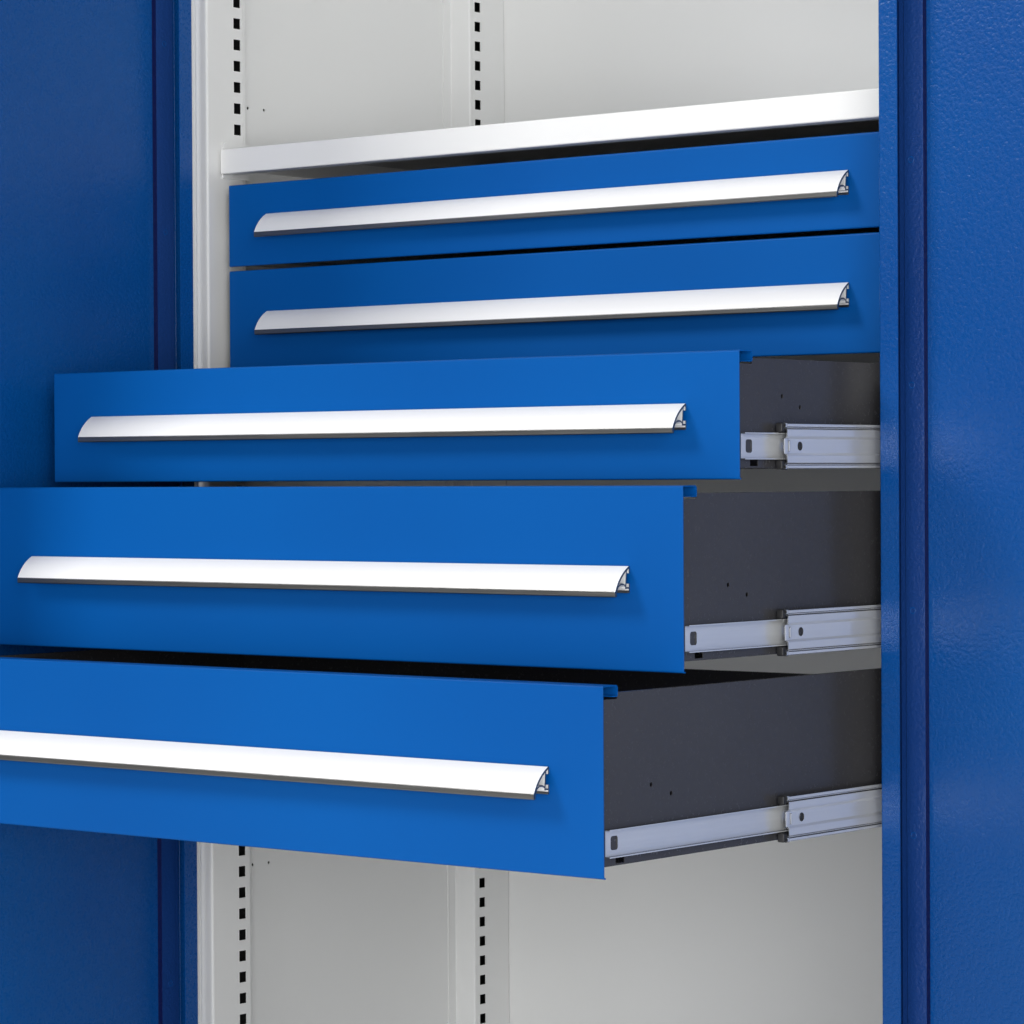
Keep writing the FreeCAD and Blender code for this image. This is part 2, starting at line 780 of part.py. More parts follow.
def door_bushes():
    # One flanged bush through the top and one through the bottom of the pan
    shapes = []
    bore = pivot_radius + pivot_play
    flange = bracket_gap - running_gap
    for z, way in ((door_bottom_rise, 1), (door_top, -1)):
        up = V(0, 0, way)
        place = V(pivot_x, pivot_y, z)
        body = rod(bore + bush_wall, place, up, bush_length)
        head = rod(bush_flange_radius, place, up * -1, flange)
        cut = rod(bore, place - up * (flange + 1), up, bush_length + flange + 2)
        shapes.append(body.fuse(head).cut(cut).removeSplitter())
    return shapes


def pivot_places():
    # (height of the bracket's outer face, direction towards the door)
    low = door_bottom_rise - bracket_gap - pivot_bracket_sheet
    high = door_top + bracket_gap + pivot_bracket_sheet
    return ((low, 1), (high, -1))


def pivot_brackets():
    shapes = []
    for outer, way in pivot_places():
        up = V(0, 0, way)
        leg = rim_y - pivot_bracket_sheet
        front = pivot_y - pivot_bracket_half
        inner = outer + way * pivot_bracket_sheet
        tip = outer + way * pivot_bracket_leg
        points = [(front, outer), (rim_y, outer), (rim_y, tip), (leg, tip), (leg, inner),
                  (front, inner)]
        shape = prism(points, across(pivot_x - pivot_bracket_half), V(2 * pivot_bracket_half, 0, 0))
        shapes.append(shape.cut(rod(pivot_radius, V(pivot_x, pivot_y, outer) - up, up,
                                    pivot_bracket_sheet + 2)))
    return shapes


def pivot_pins():
    shapes = []
    for outer, way in pivot_places():
        up = V(0, 0, way)
        shapes.append(rod(pivot_radius, V(pivot_x, pivot_y, outer), up, pivot_length))
    return shapes


def lock_plate():
    # Outside plate with the bearing sleeve that carries the spindle through the pan
    plate = box(lock_x - lock_plate_width / 2, lock_x + lock_plate_width / 2,
                door_outer_y - lock_plate_sheet, door_outer_y,
                lock_height - lock_plate_height / 2, lock_height + lock_plate_height / 2)
    upright = [edge for edge in plate.Edges if abs(edge.tangentAt(edge.FirstParameter).y) > 0.9]
    plate = plate.makeFillet(lock_plate_width / 4, upright)
    front = V(lock_x, door_outer_y - lock_plate_sheet - 1, lock_height)
    sleeve = rod(spindle_radius + sleeve_wall, V(lock_x, door_outer_y, lock_height), V(0, 1, 0),
                 door_depth - rod_sheet - cam_sheet)
    bore = rod(spindle_radius + spindle_play, front, V(0, 1, 0), door_depth + lock_plate_sheet)
    return joined(plate, sleeve).cut(bore)


def lock_handle():
    # Lever on its spindle: level while the door is unlocked, hanging down when it is locked
    face = door_outer_y - lock_plate_sheet - running_gap
    hub = rod(lever_width / 2, V(lock_x, face, lock_height), V(0, -1, 0),
              lever_stand + lever_thickness)
    lever = box(lock_x, lock_x + lever_length, face - lever_stand - lever_thickness,
                face - lever_stand, lock_height - lever_width / 2, lock_height + lever_width / 2)
    ends = [edge for edge in lever.Edges
            if abs(edge.tangentAt(edge.FirstParameter).y) > 0.9
            and edge.CenterOfMass.x > lock_x + 1]
    lever = lever.makeFillet(lever_width / 2.5, ends)
    spindle = rod(spindle_radius, V(lock_x, face, lock_height), V(0, 1, 0), cam_back() - face)
    seat = rod(cylinder_radius, V(lock_x, face - lever_stand - lever_thickness, lock_height),
               V(0, 1, 0), cylinder_height)
    return joined(hub, lever, spindle).cut(seat)


def lock_cylinder():
    face = door_outer_y - lock_plate_sheet - running_gap - lever_stand - lever_thickness
    body = rod(cylinder_radius, V(lock_x, face, lock_height), V(0, 1, 0), cylinder_height)
    key = box(lock_x - 0.8, lock_x + 0.8, face, face + 2, lock_height - 4, lock_height + 4)
    return body.cut(key)


def cam_back():
    # The side of the cam that faces into the cupboard
    return rod_front() - rod_cam_gap


def rod_front():
    return door_inner_y + rod_cam_gap + frame_sheet


def pin_angle():
    return math.radians(45)


def cam_pins():
    # Unlocked places of the pins that drive the upper and the lower rod
    across_x = cam_pin_circle * math.cos(pin_angle())
    up_z = cam_pin_circle * math.sin(pin_angle())
    return ((lock_x - across_x, lock_height - up_z), (lock_x + across_x, lock_height + up_z))


def lock_cam():
    start = cam_back() - cam_sheet
    plate = rod(cam_radius, V(lock_x, start, lock_height), V(0, 1, 0), cam_sheet)
    plate = plate.cut(rod(spindle_radius, V(lock_x, start - 1, lock_height), V(0, 1, 0),
                          cam_sheet + 2))
    pins = [rod(cam_pin_radius, V(x, start, z), V(0, 1, 0), cam_sheet + rod_cam_gap + rod_sheet)
            for x, z in cam_pins()]
    return joined(plate, *pins)


def lock_rod(index):
    # A flat bar whose head has a cross slot for its cam pin
    x, z = cam_pins()[index]
    way = 1 if index == 0 else -1
    front = rod_front()
    travel = cam_pin_circle * (1 - math.cos(pin_angle()))
    slot_half = cam_pin_radius + cam_pin_play
    left = x - slot_half - (0 if index else travel)
    right = x + slot_half + (travel if index else 0)
    head = box(left - rod_head_wall, right + rod_head_wall, front, front + rod_sheet,
               z - rod_head_height / 2, z + rod_head_height / 2)
    slot = box(left, right, front - 1, front + rod_sheet + 1, z - slot_half, z + slot_half)
    end = door_top - rod_end_gap if way > 0 else door_bottom_rise + rod_end_gap
    bar = box(x - rod_width / 2, x + rod_width / 2, front, front + rod_sheet, min(z, end), max(z, end))
    return joined(head, bar).cut(slot)


def rod_guides():
    # Staples on the door's top and bottom returns that keep the rods in line
    shapes = []
    front = rod_front()
    for index in (0, 1):
        x = cam_pins()[index][0]
        half = rod_width / 2 + guide_play
        flange = door_top - door_flange / 2 if index == 0 else door_bottom_rise + door_flange / 2
        low = flange - guide_height / 2
        back = front + rod_sheet + guide_play
        foot = half + guide_foot
        points = [(x - foot, door_inner_y), (x - half, door_inner_y), (x - half, back),
                  (x + half, back), (x + half, door_inner_y), (x + foot, door_inner_y)]
        shapes.append(folded(points, guide_sheet, upwards(low), V(0, 0, guide_height), 0))
    return shapes


def rod_strikes():
    # Keepers on the carcass rims that hold the ends of the closed rods
    shapes = []
    front = rod_front()
    for index in (0, 1):
        x = cam_pins()[index][0]
        half = strike_width / 2
        slot = rod_width / 2 + 1
        keeper = front - rod_cam_gap
        if index == 0:
            low, high = cupboard_height - strike_height, cupboard_height - skin
        else:
            low, high = base_rim_bottom, base_rim_bottom + strike_height
        block = box(x - half, x + half, keeper - frame_sheet, rim_y, low, high)
        shapes.append(block.cut(box(x - slot, x + slot, keeper, rim_y, low - 1, high + 1)))
    return shapes


def turned(shape, degrees, x):
    copy = shape.copy()
    copy.rotate(V(x, pivot_y, 0), V(0, 0, 1), degrees)
    return copy


def left_open(solids):
    # The left door stands square to the front
    return [turned(mirrored(solid), -90, -pivot_x) for solid in solids]


def right_open(solids):
    # The right door is folded right back, in line with the front
    return [turned(solid, 180, pivot_x) for solid in solids]


def carcass():
    for name, solid in (("side_panel", side_panel()), ("front_upright", front_upright()),
                        ("rear_upright", rear_upright())):
        save(name + "_right", solid)
        save(name + "_left", mirrored(solid))
    save("back_panel", back_panel())
    save("top_panel", top_panel())
    save("base_panel", base_panel())
    save("shelf", shelf())
    brackets = [shelf_bracket(False), shelf_bracket(True)]
    save("shelf_brackets", *brackets, *[mirrored(solid) for solid in brackets])
    brackets = pivot_brackets()
    save("door_pivot_brackets", *brackets, *[mirrored(solid) for solid in brackets])
    pins = pivot_pins()
    save("door_pivot_pins", *pins, *[mirrored(solid) for solid in pins])
    save("rod_strike_plates", *rod_strikes())


def doors():
    pan = door_pan()
    strips = door_strips()
    bushes = door_bushes()
    save("door_left_panel", *left_open([pan]))
    save("door_left_stiffeners", *left_open(strips))
    save("door_left_closing_strip", turned(closing_strip(), -90, -pivot_x))
    save("door_left_bushes", *left_open(bushes))
    bore = rod(spindle_radius + sleeve_wall, V(lock_x, door_outer_y - 1, lock_height), V(0, 1, 0),
               strip_height + skin + 2)
    save("door_right_panel", *right_open([pan.cut(bore)]))
    save("door_right_stiffeners", *right_open([strip.cut(bore) for strip in strips]))
    save("door_right_bushes", *right_open(bushes))
    save("lock_plate", *right_open([lock_plate()]))
    save("lock_handle", *right_open([lock_handle()]))
    save("lock_cylinder", *right_open([lock_cylinder()]))
    save("lock_cam", *right_open([lock_cam()]))
    save("lock_rod_upper", *right_open([lock_rod(0)]))
    save("lock_rod_lower", *right_open([lock_rod(1)]))
    save("rod_guides", *right_open(rod_guides()))


def drawers():
    middle = middle_member()
    inner = drawer_member()
    cages = slide_cages()
    grip = handle()
    outers = []
    row = drawer_top_row
    for number, (rows, out) in enumerate(zip(drawer_rows, drawer_out), start=1):
        top = row * slot_pitch
        row -= rows
        bottom = row * slot_pitch + drawer_gap
        centre = bottom + slide_above_front_bottom
        middle_out = min(out, middle_travel)
        name = "_" + str(number)
        outers.append(cabinet_member(row))
        save("drawer_front" + name, moved(drawer_front(bottom, top), y=-out))
        save("drawer_box" + name, moved(drawer_box(bottom, top), y=-out))
        save("drawer_handle" + name,
             moved(grip, y=-out, z=(bottom + top) / 2 + handle_above_middle))
        inner_here = moved(inner, y=-out, z=centre)
        save("drawer_slides" + name, inner_here, mirrored(inner_here))
        middle_here = moved(middle, y=-middle_out, z=centre)
        save("middle_slides" + name, middle_here, mirrored(middle_here))
        cages_here = [moved(solid, y=-middle_out, z=centre) for solid in cages]
        save("ball_cages" + name, *cages_here, *[mirrored(solid) for solid in cages_here])
    save("slide_cabinet_members_right", *outers)
    save("slide_cabinet_members_left", *[mirrored(solid) for solid in outers])


os.makedirs("parts", exist_ok=True)
carcass()
doors()
drawers()
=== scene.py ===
import json
import math

import bmesh
import bpy
from mathutils import Matrix, Vector


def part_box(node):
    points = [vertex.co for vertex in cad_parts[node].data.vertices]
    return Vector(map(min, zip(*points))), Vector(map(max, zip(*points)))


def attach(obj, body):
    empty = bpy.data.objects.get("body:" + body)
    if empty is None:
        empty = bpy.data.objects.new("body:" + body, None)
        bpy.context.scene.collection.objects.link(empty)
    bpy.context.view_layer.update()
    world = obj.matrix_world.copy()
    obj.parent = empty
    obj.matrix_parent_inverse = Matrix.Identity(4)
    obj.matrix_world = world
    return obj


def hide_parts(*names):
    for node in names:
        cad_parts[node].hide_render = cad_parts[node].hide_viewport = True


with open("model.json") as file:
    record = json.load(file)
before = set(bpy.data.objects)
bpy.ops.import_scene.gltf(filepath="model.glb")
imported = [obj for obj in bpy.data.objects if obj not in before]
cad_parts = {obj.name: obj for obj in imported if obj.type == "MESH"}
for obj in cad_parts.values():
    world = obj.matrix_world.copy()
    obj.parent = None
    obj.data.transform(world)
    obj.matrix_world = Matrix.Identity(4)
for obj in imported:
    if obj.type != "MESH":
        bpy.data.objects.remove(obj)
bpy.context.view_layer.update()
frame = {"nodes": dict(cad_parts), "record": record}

print("packed cupboard loaded")


# Small helpers for materials

def blankMaterial(name):
    material = bpy.data.materials.new(name)
    material.use_nodes = True
    tree = material.node_tree
    tree.nodes.clear()
    output = tree.nodes.new("ShaderNodeOutputMaterial")
    shader = tree.nodes.new("ShaderNodeBsdfPrincipled")
    tree.links.new(shader.outputs["BSDF"], output.inputs["Surface"])
    return material, tree, shader


def stretched(tree, scale):
    coords = tree.nodes.new("ShaderNodeTexCoord")
    mapping = tree.nodes.new("ShaderNodeMapping")
    mapping.inputs["Scale"].default_value = scale
    tree.links.new(coords.outputs["Object"], mapping.inputs["Vector"])
    return mapping.outputs["Vector"]


def noiseFrom(tree, vector, scale, detail):
    noise = tree.nodes.new("ShaderNodeTexNoise")
    noise.inputs["Scale"].default_value = scale
    noise.inputs["Detail"].default_value = detail
    tree.links.new(vector, noise.inputs["Vector"])
    return noise.outputs["Fac"]


noiseRange = (0.3, 0.7)     # nearly all values of a noise texture lie between these


def rampTo(tree, value, first, last, span, socket):
    # A colour that goes from the first to the last while the value crosses the span
    ramp = tree.nodes.new("ShaderNodeValToRGB")
    for stop, place, colour in zip(ramp.color_ramp.elements, span, (first, last)):
        stop.position = place
        stop.color = (*colour, 1)
    tree.links.new(value, ramp.inputs["Fac"])
    tree.links.new(ramp.outputs["Color"], socket)


def spread(tree, value, low, high, socket):
    # The noise's range, stretched between two numbers
    spreader = tree.nodes.new("ShaderNodeMapRange")
    spreader.inputs["From Min"].default_value = noiseRange[0]
    spreader.inputs["From Max"].default_value = noiseRange[1]
    spreader.inputs["To Min"].default_value = low
    spreader.inputs["To Max"].default_value = high
    tree.links.new(value, spreader.inputs["Value"])
    tree.links.new(spreader.outputs["Result"], socket)


def bumpFrom(tree, shader, height, strength, depth):
    bump = tree.nodes.new("ShaderNodeBump")
    bump.inputs["Strength"].default_value = strength
    bump.inputs["Distance"].default_value = depth
    tree.links.new(height, bump.inputs["Height"])
    tree.links.new(bump.outputs["Normal"], shader.inputs["Normal"])


def calculated(tree, operation, first, second):
    # One step of arithmetic on numbers or on the sockets of other nodes
    step = tree.nodes.new("ShaderNodeMath")
    step.operation = operation
    for socket, value in zip(step.inputs, (first, second)):
        if isinstance(value, float):
            socket.default_value = value
        else:
            tree.links.new(value, socket)
    return step.outputs["Value"]


def within(tree, value, low, high):
    above = calculated(tree, "GREATER_THAN", value, low)
    return calculated(tree, "MULTIPLY", above, calculated(tree, "LESS_THAN", value, high))


def axesOf(tree, kind):
    coords = tree.nodes.new("ShaderNodeTexCoord")
    parts = tree.nodes.new("ShaderNodeSeparateXYZ")
    tree.links.new(coords.outputs[kind], parts.inputs["Vector"])
    return parts.outputs


def paintShade(tree, shader, mask, shade):
    # Painted shade: the shade's colour where the mask is 1, over what the base colour has so far
    socket = shader.inputs["Base Color"]
    before = socket.links[0].from_socket
    mix = tree.nodes.new("ShaderNodeMix")
    mix.data_type = "RGBA"
    factor, under, over = mix.inputs[0], mix.inputs[6], mix.inputs[7]     # those for colours
    tree.links.new(mask, factor)
    tree.links.new(before, under)
    over.default_value = (*shade, 1)
    tree.links.new(mix.outputs[2], socket)


grooveLimit = 0.72     # faces that turn further than this cosine allows count as groove walls and get painted shade


def paintGrooveShade(tree, shader, axis, shade):
    # Painted shade: walls that turn away from the axis lie in grooves and folds, and their colour
    # is darkened to stand in for the shade there
    facing = calculated(tree, "ABSOLUTE", axesOf(tree, "Normal")[axis], 0.0)
    paintShade(tree, shader, calculated(tree, "LESS_THAN", facing, grooveLimit), shade)


lacquerIndex = 1.5     # how strongly the cured film refracts


def powderCoat(name, look):
    # Baked powder: a body colour that drifts slightly and the fine peel of the cured film
    material, tree, shader = blankMaterial(name)
    place = stretched(tree, (1, 1, 1))
    drift = noiseFrom(tree, place, look["driftScale"], 2)
    rampTo(tree, drift, look["deep"], look["light"], noiseRange, shader.inputs["Base Color"])
    peel = noiseFrom(tree, place, look["peelScale"], look["peelDetail"])
    spread(tree, peel, look["glossiest"], look["dullest"], shader.inputs["Roughness"])
    bumpFrom(tree, shader, peel, look["peelStrength"], look["peelDepth"])
    shader.inputs["IOR"].default_value = lacquerIndex
    shader.inputs["Specular IOR Level"].default_value = look["gloss"]
    # Painted shade on the walls of grooves and folds, where the look asks for it
    if "wallAxis" in look:
        paintGrooveShade(tree, shader, look["wallAxis"], look["paintedGrooveShade"])
    return material


def platedSteel(name, look):
    # Bare or plated metal: faint streaks along the direction of rolling
    material, tree, shader = blankMaterial(name)
    streaks = noiseFrom(tree, stretched(tree, look["grain"]), look["streakScale"], 3)
    rampTo(tree, streaks, look["deep"], look["light"], noiseRange, shader.inputs["Base Color"])
    spread(tree, streaks, look["glossiest"], look["dullest"], shader.inputs["Roughness"])
    bumpFrom(tree, shader, streaks, look["streakStrength"], look["streakDepth"])
    shader.inputs["Metallic"].default_value = look["metal"]
    # Painted shade on the walls of grooves and folds, where the look asks for it
    if "wallAxis" in look:
        paintGrooveShade(tree, shader, look["wallAxis"], look["paintedGrooveShade"])
    return material


# Doors: blue with a coarse peel, and their stiffener strips in a darker copy of the blue with
# painted shade on their groove walls
doorLook = {
    "deep": (0.001, 0.058, 0.255), "light": (0.001, 0.076, 0.300), "driftScale": 2.5,
    "peelScale": 300, "peelDetail": 2, "peelStrength": 0.55, "peelDepth": 0.0011,
    "glossiest": 0.24, "dullest": 0.34, "gloss": 0.30}
doorPaint = powderCoat("doorPaint", doorLook)
# The strips' darker, purpler blue is painted shade: the same paint as the door, darkened as faces
# that the light reaches less
shadedStripLook = dict(doorLook, deep=(0.006, 0.040, 0.190), light=(0.014, 0.058, 0.235),
                 glossiest=0.28, dullest=0.36, gloss=0.45, paintedGrooveShade=(0.002, 0.004, 0.060))
leftStripShadedPaint = powderCoat("leftStripShadedPaint", dict(shadedStripLook, wallAxis=0))
rightStripShadedPaint = powderCoat("rightStripShadedPaint", dict(shadedStripLook, wallAxis=1))

frontPaint = powderCoat("frontPaint", {
    "deep": (0.001, 0.080, 0.330), "light": (0.001, 0.096, 0.375), "driftScale": 2.0,
    "peelScale": 520, "peelDetail": 2, "peelStrength": 0.12, "peelDepth": 0.0004,
    "glossiest": 0.34, "dullest": 0.44, "gloss": 0.14})

carcassPaintAndShade = powderCoat("carcassPaintAndShade", {
    "deep": (0.760, 0.765, 0.758), "light": (0.795, 0.800, 0.792), "driftScale": 1.8,
    "peelScale": 600, "peelDetail": 2, "peelStrength": 0.10, "peelDepth": 0.0004,
    "glossiest": 0.42, "dullest": 0.52, "gloss": 0.50})

# Painted shade: the insides of the folded uprights are coloured near black, so that the slots show
# dark.
# The lap is where an upright's flange covers the side panel, painted dark so that its small holes
# show dark.
hollowShade = {"xFrom": 0.4798, "xTo": 0.5120, "frontFrom": -0.2742, "frontTo": -0.2102,
          "rearFrom": 0.2052, "rearTo": 0.2745, "lapFrom": 0.5112, "lapTo": -0.1250,
          "lowest": 0.1200, "highest": 1.9000,
          "shade": (0.012, 0.012, 0.012)}


def paintHollowShade(material):
    # Painted shade: near black inside the uprights' hollows and on the side panels behind the laps
    tree = material.node_tree
    shader = next(node for node in tree.nodes if node.type == "BSDF_PRINCIPLED")
    parts = axesOf(tree, "Object")
    across = calculated(tree, "ABSOLUTE", parts["X"], 0.0)
    inside = within(tree, across, hollowShade["xFrom"], hollowShade["xTo"])
    front = within(tree, parts["Y"], hollowShade["frontFrom"], hollowShade["frontTo"])
    rear = within(tree, parts["Y"], hollowShade["rearFrom"], hollowShade["rearTo"])
    uprights = calculated(tree, "MULTIPLY", inside, calculated(tree, "MAXIMUM", front, rear))
    behind = within(tree, across, hollowShade["lapFrom"], hollowShade["xTo"])
    along = within(tree, parts["Y"], hollowShade["frontFrom"], hollowShade["lapTo"])
    lap = calculated(tree, "MULTIPLY", behind, along)
    tall = within(tree, parts["Z"], hollowShade["lowest"], hollowShade["highest"])
    dark = calculated(tree, "MULTIPLY", tall, calculated(tree, "MAXIMUM", uprights, lap))
    paintShade(tree, shader, dark, hollowShade["shade"])


# The carcass paint carries the painted shade of the hollows and laps
paintHollowShade(carcassPaintAndShade)

shelfPaint = powderCoat("shelfPaint", {
    "deep": (0.850, 0.850, 0.840), "light": (0.890, 0.890, 0.880), "driftScale": 2.2,
    "peelScale": 600, "peelDetail": 2, "peelStrength": 0.08, "peelDepth": 0.0003,
    "glossiest": 0.38, "dullest": 0.46, "gloss": 0.50})

boxPaint = powderCoat("boxPaint", {
    "deep": (0.050, 0.049, 0.052), "light": (0.060, 0.059, 0.062), "driftScale": 3.0,
    "peelScale": 300, "peelDetail": 1, "peelStrength": 0.04, "peelDepth": 0.0004,
    "glossiest": 0.20, "dullest": 0.28, "gloss": 0.38})

# Zinc on the lock's rods and the pivots, and the same with painted shade on the groove walls of the
# slides
zincLook = {
    "deep": (0.780, 0.795, 0.810), "light": (0.815, 0.830, 0.845), "grain": (1, 0.010, 1),
    "streakScale": 300, "streakStrength": 0.003, "streakDepth": 0.0001,
    "glossiest": 0.22, "dullest": 0.26, "metal": 0.50}
zincPlate = platedSteel("zincPlate", zincLook)
railPlateAndShade = platedSteel("railPlateAndShade", dict(zincLook, wallAxis=0, paintedGrooveShade=(0.110, 0.115, 0.125)))

ballSteel = platedSteel("ballSteel", {
    "deep": (0.030, 0.030, 0.033), "light": (0.060, 0.060, 0.064), "grain": (1, 1, 1),
    "streakScale": 400, "streakStrength": 0.02, "streakDepth": 0.0002,
    "glossiest": 0.34, "dullest": 0.46, "metal": 0.35})

lockMetal = platedSteel("lockMetal", {
    "deep": (0.560, 0.560, 0.570), "light": (0.700, 0.700, 0.705), "grain": (1, 1, 0.2),
    "streakScale": 500, "streakStrength": 0.03, "streakDepth": 0.0002,
    "glossiest": 0.20, "dullest": 0.30, "metal": 0.90})

mouldedPlastic = powderCoat("mouldedPlastic", {
    "deep": (0.016, 0.016, 0.017), "light": (0.024, 0.024, 0.026), "driftScale": 30,
    "peelScale": 1500, "peelDetail": 2, "peelStrength": 0.20, "peelDepth": 0.0002,
    "glossiest": 0.42, "dullest": 0.56, "gloss": 0.50})


def handleFinish(name, look, lipTop):
    # White on the curved outer face, bare satin aluminium on the lip, inside and cut ends
    material, tree, shader = blankMaterial(name)
    outward = calculated(tree, "LESS_THAN", axesOf(tree, "Normal")["Y"], look["outwardLimit"])
    above = calculated(tree, "GREATER_THAN", axesOf(tree, "Object")["Z"], lipTop)
    white = calculated(tree, "MULTIPLY", outward, above)
    rampTo(tree, white, look["bare"], look["white"], look["span"], shader.inputs["Base Color"])
    tree.links.new(calculated(tree, "SUBTRACT", 1.0, white), shader.inputs["Metallic"])
    lines = noiseFrom(tree, stretched(tree, look["grain"]), look["lineScale"], 3)
    spread(tree, lines, look["glossiest"], look["dullest"], shader.inputs["Roughness"])
    bumpFrom(tree, shader, lines, look["lineStrength"], look["lineDepth"])
    return material


handleLook = {
    "white": (0.930, 0.930, 0.935), "bare": (0.240, 0.240, 0.235), "span": (0.4, 0.6),
    "grain": (0.02, 1, 1), "lineScale": 700, "lineStrength": 0.05, "lineDepth": 0.0002,
    "lipHeight": 0.0058, "outwardLimit": -0.20, "glossiest": 0.34, "dullest": 0.44}

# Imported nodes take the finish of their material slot, the doors' strips and the handles their own
finishes = {
    "carcass_paint": carcassPaintAndShade, "shelf_paint": shelfPaint, "door_paint": doorPaint,
    "front_paint": frontPaint, "box_paint": boxPaint,
    "zinc": zincPlate, "ball_steel": ballSteel, "bush_plastic": mouldedPlastic,
    "lock_metal": lockMetal, "lever_plastic": mouldedPlastic}
shadedStripPaints = {"door_left_stiffeners": leftStripShadedPaint, "door_right_stiffeners": rightStripShadedPaint}

for part in frame["record"]["subparts"]:
    if part["material_slot"] == "handle_metal":
        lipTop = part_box(part["node"])[0].z + handleLook["lipHeight"]
        finish = handleFinish("handleFinish_" + part["node"], handleLook, lipTop)
    else:
        finish = shadedStripPaints.get(part["node"], finishes[part["material_slot"]])
    materials = frame["nodes"][part["node"]].data.materials
    materials.clear()
    materials.append(finish)

print("materials on", len(frame["nodes"]), "packed nodes")


# Small helpers for new pieces

mergeDistance = 0.00001
bendSegments = 4
drawers = range(1, 6)


def finishedPiece(name, shape, body, material, smooth=False):
    bmesh.ops.remove_doubles(shape, verts=shape.verts, dist=mergeDistance)
    bmesh.ops.recalc_face_normals(shape, faces=shape.faces)
    mesh = bpy.data.meshes.new(name)
    for face in shape.faces:
        face.smooth = smooth
    shape.to_mesh(mesh)
    shape.free()
    piece = bpy.data.objects.new(name, mesh)
    bpy.context.scene.collection.objects.link(piece)
    piece.data.materials.append(material)
    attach(piece, body)
    return piece


def rounded(shape, geom, radius, affect, segments, clamp=False):
    bmesh.ops.bevel(shape, geom=geom, offset=radius, affect=affect, segments=segments,
                    profile=0.5, material=-1, clamp_overlap=clamp)


def roundedBlock(shape, centre, size, radius, segments=3):
    made = bmesh.ops.create_cube(shape, size=1.0)["verts"]
    bmesh.ops.scale(shape, vec=size, verts=made)
    bmesh.ops.translate(shape, vec=centre, verts=made)
    edges = list({edge for vert in made for edge in vert.link_edges})
    rounded(shape, edges, radius, "EDGES", segments, clamp=True)


def pulled(shape, edges, run):
    # The edges drawn out into faces along the run
    grown = bmesh.ops.extrude_edge_only(shape, edges=edges)["geom"]
    grown = [item for item in grown if isinstance(item, bmesh.types.BMVert)]
    bmesh.ops.translate(shape, verts=grown, vec=run)


def pierce(sheet, middle, half, radius):
    # A hole in the upright web that stands at the middle point, its corners rounded
    near = 0.0002
    for axis, reach in ((1, half[0]), (2, half[1])):
        for way in (-1, 1):
            place = Vector(middle)
            place[axis] += way * reach
            normal = Vector((0, 0, 0))
            normal[axis] = 1
            bmesh.ops.bisect_plane(sheet, geom=sheet.verts[:] + sheet.edges[:] + sheet.faces[:],
                                   plane_co=place, plane_no=normal)
    inside = [face for face in sheet.faces
              if abs(face.calc_center_median().x - middle[0]) < near
              and abs(face.calc_center_median().y - middle[1]) < half[0]
              and abs(face.calc_center_median().z - middle[2]) < half[1]]
    bmesh.ops.delete(sheet, geom=inside, context="FACES")
    corners = [vert for vert in sheet.verts
               if abs(vert.co.x - middle[0]) < near
               and abs(abs(vert.co.y - middle[1]) - half[0]) < near
               and abs(abs(vert.co.z - middle[2]) - half[1]) < near]
    rounded(sheet, corners, radius, "VERTICES", bendSegments)


def bentSheet(target, path, radii, run, thickness, outward, cutouts=()):
    # The path is the sheet's outward face: it is pulled along the run, pierced and thickened
    sheet = bmesh.new()
    corners = [sheet.verts.new(point) for point in path]
    for pair in zip(corners, corners[1:]):
        sheet.edges.new(pair)
    for corner, radius in zip(corners[1:-1], radii):
        rounded(sheet, [corner], radius, "VERTICES", bendSegments)
    pulled(sheet, sheet.edges[:], run)
    for middle, half, radius in cutouts:
        pierce(sheet, middle, half, radius)
    bmesh.ops.recalc_face_normals(sheet, faces=sheet.faces)
    facing = sum((face.normal * face.calc_area() for face in sheet.faces), Vector((0, 0, 0)))
    if facing.dot(Vector(outward)) < 0:
        bmesh.ops.reverse_faces(sheet, faces=sheet.faces)
    bmesh.ops.solidify(sheet, geom=sheet.faces[:], thickness=thickness)
    bmesh.ops.recalc_face_normals(sheet, faces=sheet.faces)
    spare = bpy.data.meshes.new("spare")
    sheet.to_mesh(spare)
    sheet.free()
    target.from_mesh(spare)
    bpy.data.meshes.remove(spare)


def mirroredPair(shape):
    # The right-hand piece and its twin on the left
    bmesh.ops.mirror(shape, geom=shape.verts[:] + shape.edges[:] + shape.faces[:],
                     matrix=Matrix.Identity(4), merge_dist=mergeDistance, axis="X")


# Drawer fronts: a bent pan without side returns, whose top return ends in a stiffening hook
frontPan = {"sheet": 0.0012, "bottomReturn": 0.0032, "topReturn": 0.022, "hookHeight": 0.0105,
            "hookReturn": 0.007, "edgeRadius": 0.0019, "hookRadius": 0.0030,
            "endRadius": 0.0007, "endSegments": 3,
            "faceDepth": 0.0001}     # what lies this near the outer face gets rounded ends

for number in drawers:
    low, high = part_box("drawer_front_%d" % number)
    back = low.y + frontPan["topReturn"]
    hookBottom = high.z - frontPan["hookHeight"]
    pan = bmesh.new()
    bentSheet(pan, [(low.x, low.y + frontPan["bottomReturn"], low.z), (low.x, low.y, low.z),
                    (low.x, low.y, high.z), (low.x, back, high.z), (low.x, back, hookBottom),
                    (low.x, back - frontPan["hookReturn"], hookBottom)],
              [frontPan["edgeRadius"], frontPan["edgeRadius"], frontPan["hookRadius"],
               frontPan["edgeRadius"]],
              (high.x - low.x, 0, 0), frontPan["sheet"], (0, -1, 0))
    ends = [edge for edge in pan.edges
            if all(abs(abs(vert.co.x) - high.x) < mergeDistance
                   and vert.co.y < low.y + frontPan["faceDepth"] for vert in edge.verts)]
    rounded(pan, ends, frontPan["endRadius"], "EDGES", frontPan["endSegments"])
    piece = finishedPiece("drawer_front_pan_%d" % number, pan, "drawer_%d" % number,
                          frontPaint)
    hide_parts("drawer_front_%d" % number)

print("drawer fronts made")

slottedFace = 0.4785     # the faces of the uprights that hold the slots stand this far out

